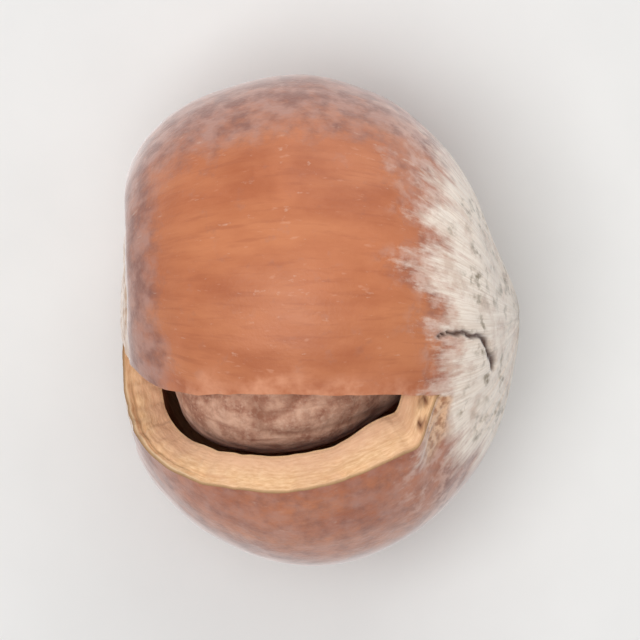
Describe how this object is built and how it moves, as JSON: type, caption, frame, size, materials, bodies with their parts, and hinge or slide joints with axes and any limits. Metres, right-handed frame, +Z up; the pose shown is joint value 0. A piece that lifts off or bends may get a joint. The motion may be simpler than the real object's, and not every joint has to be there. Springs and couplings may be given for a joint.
{
  "type": "hazelnut in shell",
  "caption": "Roasted hazelnut in its shell, lying on its side: a lopsided woody shell cracked open along one side like a flap, with the brown-skinned kernel loose inside.",
  "frame": {"origin": "centre of the bounding box's bottom face, on the surface that the nut lies on", "axes": "+Z up; +X from the nut's base to its tip; -Y towards the flap that the crack opened, along the nut's longest extent"},
  "size_m": [0.0196, 0.024, 0.0202],
  "materials": {
    "shell": "satin, finely streaked",
    "kernel": "matte, wrinkled skin"
  },
  "bodies": {
    "root": {"shell": "shell", "kernel": "kernel"}
  },
  "joints": []
}
